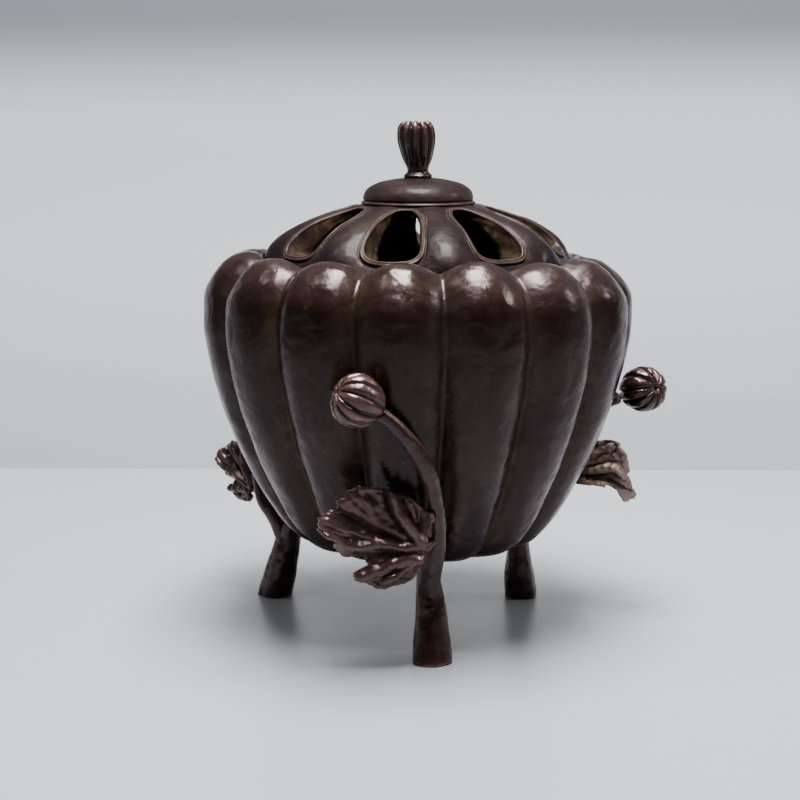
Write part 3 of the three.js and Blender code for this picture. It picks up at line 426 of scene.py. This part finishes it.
def bud_mesh(centre, axis, radius=6.4, ribs=11, twist=0.35):
    prof = catmull([[0.02, -6.15], [1.7, -6.1], [3.7, -5.1], [5.5, -2.9], [6.35, 0.1], [6.05, 2.9], [4.6, 5.0], [2.7, 6.0], [1.4, 6.05], [0.7, 5.5], [0.02, 5.2]], 7)
    ns = ribs * 14
    ax = Vector(axis).normalized()
    q = Vector((0, 0, 1)).rotation_difference(ax)
    V, R, H = [], [], []
    for k, (r, z) in enumerate(prof):
        t = k / (len(prof) - 1)
        for i in range(ns):
            a = 2 * math.pi * i / ns
            ph = a * ribs / 2 + twist * math.sin(2.2 * t) + 0.34 * math.sin(3 * a) + 0.2 * math.sin(2 * a + 2)
            s = abs(math.cos(ph))                       # 0 in a groove, 1 on a rib
            dip = (1 - s) ** 3.4
            g = 0.85 * dip * smooth(r / 3.0) + 0.34 * (1 - s) ** 1.4 * smooth(r / 3.0)
            big = 0.12 * math.sin(a * 2 + 1) * smooth(r / 4)
            k_ = radius / 6.4
            p = q @ Vector(((r - g + big) * math.cos(a), (r - g + big) * math.sin(a), z - 0.35 * dip * smooth((z - 3) / 3))) * k_
            V.append((p.x + centre[0], p.y + centre[1], p.z + centre[2]))
            R.append(smooth((s - 0.75) / 0.25) * 0.6); H.append(smooth(dip * 1.8))
    return V, ring_faces(len(prof), ns), {"ridge": R, "hollow": H}

for name, U in UNITS.items():
    ph = {"front": 0.4, "right": 2.2, "left": 4.1}[name]
    # trunk: flared and flattened at the foot, faceted, its top let into the bowl's flank
    def facet(t, a, ph=ph):
        return 1 + 0.035 * math.cos(3 * a + ph) + 0.022 * math.cos(5 * a + 2 * ph + 2 * t) + 0.012 * math.cos(9 * a + 5 * t)
    p0, p1 = np.array(U["trunk"][0], float), np.array(U["trunk"][1], float)
    v, f, P, T = tube([tuple(p0 - (p1 - p0) * 1.2)] + U["trunk"], [U["trad"][0]] + U["trad"], 48, 92, facet)
    v = [(x, y, min(max(0.0, z), bowl_height(x, y) + 0.7)) for x, y, z in v]
    # painted shade: the trunk darkens towards the near-black hollow colour at its foot on the floor and at its top
    # under the bowl
    H = [smooth((3 - z) / 3) * 0.5 + 0.35 * smooth((z - 22) / 5) for x, y, z in v]
    Rm = [smooth((1.2 - z) / 1.2) * 0.3 for x, y, z in v]
    o = new_object("leg_branch_" + name, v, f, "bowl_body", {"hollow": H, "ridge": Rm}, wobble=(5.0, 0.16, ph), ground=True)
    finish_piece(o, M_BRANCH, "branch_bronze", "leg_" + name)
    # branch: out of the trunk, up the bowl's side, across to the bud
    rad = np.interp(np.linspace(0, 1, 12), np.linspace(0, 1, len(STEM_R)), STEM_R)
    def knots(t, a, ph=ph):
        return 1 + 0.03 * math.cos(2 * a + 6 * t + ph) + 0.05 * math.exp(-((t - 0.33) / 0.025) ** 2) * math.cos(a - 1) + 0.02 * math.sin(31 * t)
    v, f, P, T = tube(U["stem"], list(rad), 40, 130, knots)
    H = [0.10] * len(v)
    lit_side = Vector((0.45, -0.25, 0.85)).normalized()      # painted highlight: the side facing the overhead light takes the light ridge colour
    Rm = []
    for i, q in enumerate(v):
        d = Vector(q) - Vector(tuple(P[min(i // 40, len(P) - 1)]))
        Rm.append(0.05 + 0.95 * smooth((d.normalized().dot(lit_side) - 0.72) / 0.2) if d.length > 1e-6 else 0.05)
    o = new_object("stem_branch_" + name, v, f, "bowl_body", {"hollow": H, "ridge": Rm}, wobble=(4.0, 0.14, ph + 1))
    finish_piece(o, M_BRANCH, "branch_bronze", "stem_" + name)
    # bud: its axis bends away from the branch's end
    end = Vector(U["stem"][-1]); cen = Vector(U["bud"])
    baz = math.degrees(math.atan2(cen.x, -cen.y))
    axis = Vector(spin(U["baxis"], baz)).normalized()
    v, f, mk = bud_mesh(tuple(cen), axis)
    # painted shade: the side buds' ribs get a fainter light colour than the front bud's
    if name != "front": mk["ridge"] = [0.35 * x for x in mk["ridge"]]
    o = new_object("bud_ball_" + name, v, f, "bowl_body", mk, wobble=(2.4, 0.20, ph))
    finish_piece(o, M_BUD_LIT if name == "front" else M_BRANCH, "branch_bronze", "bud_" + name)
    v, f, mk = leaf_mesh(U)
    # the leaf's short stalk, back to the branch
    path = catmull(U["stem"], 12); root = np.array(U["leaf"]["root"], float)
    near = path[np.argmin(np.linalg.norm(path - root, axis=1))]
    inn = place_leaf(np.array([[[3.0, 0.8, 0.9]]]), U["leaf"])[0, 0]
    v2, f2, _, _ = tube([tuple(near), tuple(near * 0.5 + root * 0.5), tuple(root), tuple(inn)], [1.45, 1.3, 1.25, 0.5], 20, 24)
    n0 = len(v); v = v + v2; f = f + [tuple(n0 + i for i in q) for q in f2]
    mk = {"ridge": mk["ridge"] + [0.3] * len(v2), "hollow": mk["hollow"] + [0.1] * len(v2)}
    o = new_object("leaf_blade_" + name, v, f, "bowl_body", mk, wobble=(2.8, 0.24, ph + 2))
    finish_piece(o, {"front": M_LEAF, "right": M_LEAF_LIT, "left": M_LEAF_SHADED}[name], "leaf_bronze", "leaf_" + name)

# ------------------------------------------------------------------ lid
def rows_at(tab, t):
    t = min(len(tab) - 1, max(0.0, t)); i = min(len(tab) - 2, int(t)); k = t - i
    p0, p1, p2, p3 = (np.array(tab[j], float) for j in (max(0, i - 1), i, i + 1, min(len(tab) - 1, i + 2)))
    d1, d2 = (p2 - p0) / 2, (p3 - p1) / 2
    return (2*k**3-3*k*k+1)*p1 + (k**3-2*k*k+k)*d1 + (-2*k**3+3*k*k)*p2 + (k**3-k*k)*d2

def rib(d):
    x = min(1.0, max(0.0, (22.5 - abs(d)) / 12.0))
    return (1 - x * x) ** 1.35

def lid_point(d, t, lift=0.0):
    g = rib(d)
    p = rows_at(LID_W, t) * (1 - g) + rows_at(LID_C, t) * g
    if lift:
        a = rows_at(LID_W, t - .15) * (1 - g) + rows_at(LID_C, t - .15) * g
        b_ = rows_at(LID_W, t + .15) * (1 - g) + rows_at(LID_C, t + .15) * g
        tn = b_ - a; tn /= np.linalg.norm(tn)
        p = p + np.array([-tn[1], tn[0]]) * lift
    return p

BEAD_D = [0, .12, .3, .5, .75, 1.0, 1.22, 1.42, 1.6, 1.85, 2.2]
BEAD_H = [.10, .38, .52, .50, .44, .50, .50, .36, .08, -.12, 0]
def taper(w, d):
    return 0.02 if w in (0, 4) and d > 0 else 0.14
NA = 100                       # points round a window; 100/8 puts one on each corner of the sector
def lid_mesh():
    V, F, R, H = [], [], [], []
    def put(r, az, z, ri=0.0, ho=0.0):
        V.append(polar(r, az, z)); R.append(ri); H.append(ho); return len(V) - 1
    for w in range(WINDOWS):
        c = WPHASE + 45.0 * w
        loop, rect = [], []
        for i in range(NA):
            a = 2 * math.pi * (i + 0.5) / NA
            ca, sa = math.cos(a), math.sin(a)
            k = (abs(ca) ** WIN_E + abs(sa) ** WIN_E) ** (-1 / WIN_E)
            t = WIN_T + WIN_H * sa * k
            half = WHALF * (1.0 - 0.07 * smooth((2.2 - t) / 2.2))
            loop.append((half * ca * k, t))
            k2 = 1 / max(abs(ca), abs(sa))
            rect.append((22.5 * ca * k2, 5 + 5 * sa * k2))
        out_ids = []
        spans = []
        for (d0, t0), (d1, t1) in zip(loop, rect):
            pts = []
            for e in np.linspace(0, 1, 24):
                p = lid_point(d0 + (d1 - d0) * e, t0 + (t1 - t0) * e)
                pts.append(polar(p[0], d0 + (d1 - d0) * e, p[1]))
            pts = np.array(pts)
            spans.append(np.r_[0, np.cumsum(np.linalg.norm(np.diff(pts, axis=0), axis=1))])
        rings = [("bead", k) for k in range(len(BEAD_D))] + [("far", x) for x in (.12, .26, .42, .6, .8, 1.0)]
        for kind, x in rings:
            row = []
            for i, ((d0, t0), (d1, t1)) in enumerate(zip(loop, rect)):
                tot = spans[i][-1]
                sc = min(1.0, tot / 3.2)
                dist = BEAD_D[x] * sc if kind == "bead" else BEAD_D[-1] * sc + (tot - BEAD_D[-1] * sc) * x
                e = float(np.interp(dist, spans[i], np.linspace(0, 1, 24)))
                d, t = d0 + (d1 - d0) * e, t0 + (t1 - t0) * e
                lift = BEAD_H[x] if kind == "bead" else 0.0
                lift *= smooth(t * 1.2) * smooth((9.6 - t) / 1.5)
                p = lid_point(d, t, lift)
                ri = 0.9 if kind == "bead" and x in (1, 2, 5, 6) else 0.0
                ho = 0.9 if kind == "bead" and x in (8, 9) else (0.35 if kind == "bead" and x in (3, 4) else 0.0)
                row.append(put(p[0], c + d, p[1], ri, max(ho, 0.35 * smooth((t - 8.5) / 1.5))))
            out_ids.append(row)
        # the window's side wall, tapering inwards
        wall = [out_ids[0]]
        for e in (.1, .25, .5, .75, 1.0):
            row = []
            for (d0, t0) in loop:
                po, pi = lid_point(d0, t0, 0.0), rows_at(LID_I, t0)
                dd = d0 * (1 - taper(w, d0) * e) + 0.5 * math.sin(len(row) * 0.71 + 5 * w + 7 * e) * math.sin(3 * e)
                p = po * (1 - e) + pi * e
                row.append(put(p[0], c + dd, p[1], 0.0, 0.95))
            wall.append(row)
        # the inner face
        inn = [wall[-1]]
        for e in (.25, .5, .75, 1.0):
            row = []
            for (d0, t0), (d1, t1) in zip(loop, rect):
                di = d0 * (1 - taper(w, d0))
                d, t = di + (d1 - di) * e, t0 + (t1 - t0) * e
                p = rows_at(LID_I, t)
                row.append(put(p[0], c + d, p[1], 0.0, 0.8))
            inn.append(row)
        for grid in (out_ids, wall, inn):
            for a_, b_ in zip(grid[:-1], grid[1:]):
                for i in range(NA):
                    j = (i + 1) % NA
                    F.append((a_[i], a_[j], b_[j], b_[i]))
        # under the edge, and the hole for the stud
        for i in range(NA):
            j = (i + 1) % NA
            if rect[i][1] > 9.999 and rect[j][1] > 9.999:
                F.append((out_ids[-1][i], out_ids[-1][j], inn[-1][j], inn[-1][i]))
            if rect[i][1] < 0.001 and rect[j][1] < 0.001:
                a1, a2 = put(2.0, c + rect[i][0], 112.2), put(2.0, c + rect[j][0], 112.2)
                b1, b2 = put(2.0, c + rect[i][0], 110.5), put(2.0, c + rect[j][0], 110.5)
                F.extend([(out_ids[-1][i], out_ids[-1][j], a2, a1), (a1, a2, b2, b1), (b1, b2, inn[-1][j], inn[-1][i])])
    return V, F, R, H
V, F, R, H = lid_mesh()
o = new_object("lid_dome", V, F, "lid_body", {"ridge": R, "hollow": H}, wobble=(8.0, 0.12, 3.0))
finish_piece(o, M_LID, "lid_bronze", "lid_shell")

def lathe(name, profile, body, mat, slot, node, segs=128, sub=6, shape=None, closed=False, wob=(7.0, 0.10, 5.0), lean=0.0):
    p = catmull(profile, sub) if sub > 1 else np.array(profile, float)
    verts, R, H = [], [], []
    for k, (r, z) in enumerate(p):
        t = k / (len(p) - 1)
        for i in range(segs):
            a = math.radians(360 * i / segs)
            rr, zz, ri, ho = shape(t, a, r, z) if shape else (r, z, 0.0, 0.0)
            x, y, zz = polar(max(0.01, rr), math.degrees(a), zz)
            verts.append((x + lean * max(0.0, zz - 119.5), y, zz)); R.append(ri); H.append(ho)
    faces = ring_faces(len(p), segs, (not closed, not closed))
    if closed:
        b = (len(p) - 1) * segs
        for i in range(segs):
            j = (i + 1) % segs
            faces.append((b + i, b + j, j, i))
    o = new_object(name, verts, faces, body, {"ridge": R, "hollow": H}, wobble=wob)
    return finish_piece(o, mat, slot, node)

def boss_shape(t, a, r, z):
    return r, z, 0.35 * smooth((r - 13.4) / 1.0), 0.5 * math.exp(-((z - 113.85) / 0.25) ** 2) * (1 if r > 13.5 else 0)
lathe("boss_cap", [[2.1, 111.95], [8.0, 111.95], [14.2, 111.95], [14.9, 112.1], [15.05, 112.45], [14.75, 112.8], [14.3, 113.05], [14.5, 113.4], [14.35, 114.5], [13.75, 115.65],
                   [12.4, 116.75], [10.2, 117.7], [7.0, 118.4], [4.0, 118.8], [2.1, 118.9]], "lid_body", M_LID, "lid_bronze", "lid_boss", shape=boss_shape, closed=True)

PET = 12
def knob_shape(t, a, r, z):
    up = smooth((z - 121.0) / 4.0)
    s = abs(math.cos(a * PET / 2 + 0.25 * math.sin((z - 121) * 0.12)))
    alt = 0.5 + 0.5 * math.cos(a * PET / 2 * 1.0)
    dip = (1 - s) ** 2.0
    g = (0.72 * dip + 0.30 * (1 - s)) * up * smooth(r / 2.6)
    top = smooth((z - 131.6) / 1.6)
    zz = z - top * (0.9 * dip + 0.28 * (0.5 + 0.5 * math.sin(3 * a + 0.7)))
    rr = r - g + 0.16 * math.sin(2 * a + 1) * up
    return rr, zz, smooth((s - 0.7) / 0.3) * (0.25 + 0.75 * smooth((z - 128) / 5)), smooth(dip * 1.6) * up
lathe("knob_bud", [[0.02, 118.7], [2.4, 118.7], [3.45, 118.75], [3.75, 119.3], [3.45, 119.8], [2.95, 120.25], [2.82, 120.9], [3.1, 121.9], [3.75, 123.3], [4.4, 125.2],
                   [4.95, 127.4], [5.15, 129.4], [5.0, 131.3], [4.5, 132.7], [3.75, 133.45], [2.9, 133.55], [2.1, 132.9], [1.2, 132.2], [0.02, 132.0]],
      "lid_body", M_BRANCH, "branch_bronze", "lid_knob", segs=PET * 16, shape=knob_shape, wob=(3.0, 0.08, 6.0), lean=-0.05)

# carried-over nodes keep their shape and get the metal's finish
for nname, o in frame["nodes"].items():
    if not o.hide_render:
        o.data.materials.clear(); o.data.materials.append(M_BARE)

# ------------------------------------------------------------------ stage, light, camera
def plane(name, corners, color, rough, spec=0.5):
    me = bpy.data.meshes.new(name); me.from_pydata(corners, [], [(0, 1, 2, 3)])
    o = bpy.data.objects.new(name, me); bpy.context.scene.collection.objects.link(o)
    m = bpy.data.materials.new(name + "_mat"); m.use_nodes = True
    b = m.node_tree.nodes["Principled BSDF"]
    b.inputs["Base Color"].default_value = (*color, 1); b.inputs["Roughness"].default_value = rough
    b.inputs["Specular IOR Level"].default_value = spec
    me.materials.append(m)
    return o
s, back = 2.2, 0.192
floor = plane("floor", [(-s, -s, -0.0003), (s, -s, -0.0003), (s, s, -0.0003), (-s, s, -0.0003)], (0.243, 0.250, 0.260), 0.32)
wall = plane("backdrop", [(-s, back, -0.0003), (s, back, -0.0003), (s, back, 0.45), (-s, back, 0.45)], (0.72, 0.735, 0.755), 0.85, 0.1)
# painted shade: the backdrop's colour darkens towards its top, standing in for the light falling off above the object
nt = wall.data.materials[0].node_tree
tw = nt.nodes.new("ShaderNodeTexCoord"); sz = nt.nodes.new("ShaderNodeSeparateXYZ"); nt.links.new(tw.outputs["Object"], sz.inputs[0])
mz = nt.nodes.new("ShaderNodeMapRange"); nt.links.new(sz.outputs["Z"], mz.inputs[0]); mz.inputs[1].default_value, mz.inputs[2].default_value = 0.0, 0.22
rp = nt.nodes.new("ShaderNodeValToRGB"); nt.links.new(mz.outputs[0], rp.inputs[0])
el = rp.color_ramp.elements
el[0].position, el[0].color = 0.0, (0.41, 0.42, 0.432, 1)
el[1].position, el[1].color = 1.0, (0.070, 0.075, 0.082, 1)
for pos, c in ((0.35, (0.49, 0.50, 0.511, 1)), (0.58, (0.42, 0.43, 0.441, 1)), (0.78, (0.125, 0.132, 0.142, 1))):
    q = el.new(pos); q.color = c
rp.color_ramp.interpolation = "EASE"
nt.links.new(rp.outputs[0], nt.nodes["Principled BSDF"].inputs["Base Color"])
# and is open from its far side, so the back of the object can be looked at
gm, tr, mx = nt.nodes.new("ShaderNodeNewGeometry"), nt.nodes.new("ShaderNodeBsdfTransparent"), nt.nodes.new("ShaderNodeMixShader")
nt.links.new(gm.outputs["Backfacing"], mx.inputs[0]); nt.links.new(nt.nodes["Principled BSDF"].outputs[0], mx.inputs[1])
nt.links.new(tr.outputs[0], mx.inputs[2]); nt.links.new(mx.outputs[0], nt.nodes["Material Output"].inputs[0])

w = bpy.data.worlds.new("world"); bpy.context.scene.world = w; w.use_nodes = True
nt = w.node_tree; bg = nt.nodes["Background"]
tcw = nt.nodes.new("ShaderNodeTexCoord"); sep = nt.nodes.new("ShaderNodeSeparateXYZ"); nt.links.new(tcw.outputs["Generated"], sep.inputs[0])
def wmath(op, a, c=0.0):
    x = nt.nodes.new("ShaderNodeMath"); x.operation = op
    for i, v in enumerate((a, c)):
        if isinstance(v, (int, float)): x.inputs[i].default_value = v
        else: nt.links.new(v, x.inputs[i])
    return x.outputs[0]
def wband(src, a, c, lo, hi):
    r = nt.nodes.new("ShaderNodeMapRange"); r.interpolation_type = "SMOOTHSTEP"; nt.links.new(src, r.inputs[0])
    for i, v in enumerate((a, c, lo, hi)): r.inputs[i + 1].default_value = v
    return r.outputs[0]
up = wband(sep.outputs["Z"], 0.35, 0.95, 0.0, 0.29)
side = wband(wmath("ABSOLUTE", sep.outputs["X"]), 0.50, 0.95, 0.0, 0.17)
tot = wmath("ADD", wmath("ADD", up, side), 0.05)
cw = nt.nodes.new("ShaderNodeMix"); cw.data_type = "RGBA"; nt.links.new(tot, cw.inputs[0])
cw.inputs[6].default_value = (0, 0, 0, 1); cw.inputs[7].default_value = (0.93, 0.97, 1.04, 1)
nt.links.new(cw.outputs[2], bg.inputs[0]); bg.inputs[1].default_value = 1.0

def area(name, loc, target, size, power, color=(1, 1, 1), size_y=None):
    l = bpy.data.lights.new(name, "AREA"); l.energy = power; l.color = color; l.size = size
    if size_y: l.shape = "RECTANGLE"; l.size_y = size_y
    o = bpy.data.objects.new(name, l); bpy.context.scene.collection.objects.link(o)
    o.location = loc
    o.rotation_euler = (Vector(target) - Vector(loc)).to_track_quat("-Z", "Y").to_euler()
    return o
area("strip", (0.02, -0.07, 0.75), (0.02, -0.07, 0.0), 0.27, 32.5, size_y=0.44)
area("right", (0.70, 0.04, 0.54), (0, 0, 0.09), 0.16, 2.3)
area("left", (-0.42, -0.06, 0.80), (0, 0, 0.09), 0.16, 1.2)

cam = bpy.data.cameras.new("camera"); co = bpy.data.objects.new("camera", cam)
bpy.context.scene.collection.objects.link(co); bpy.context.scene.camera = co
cam.sensor_width = 36.0; cam.lens = 1695.0 / 800.0 * 36.0
cam.clip_start, cam.clip_end = 0.01, 20
co.location = (AX / 1000, AY / 1000 - 0.448, 0.138)
co.rotation_euler = (math.radians(90 - 9.92), 0, math.atan(18 / 1695))
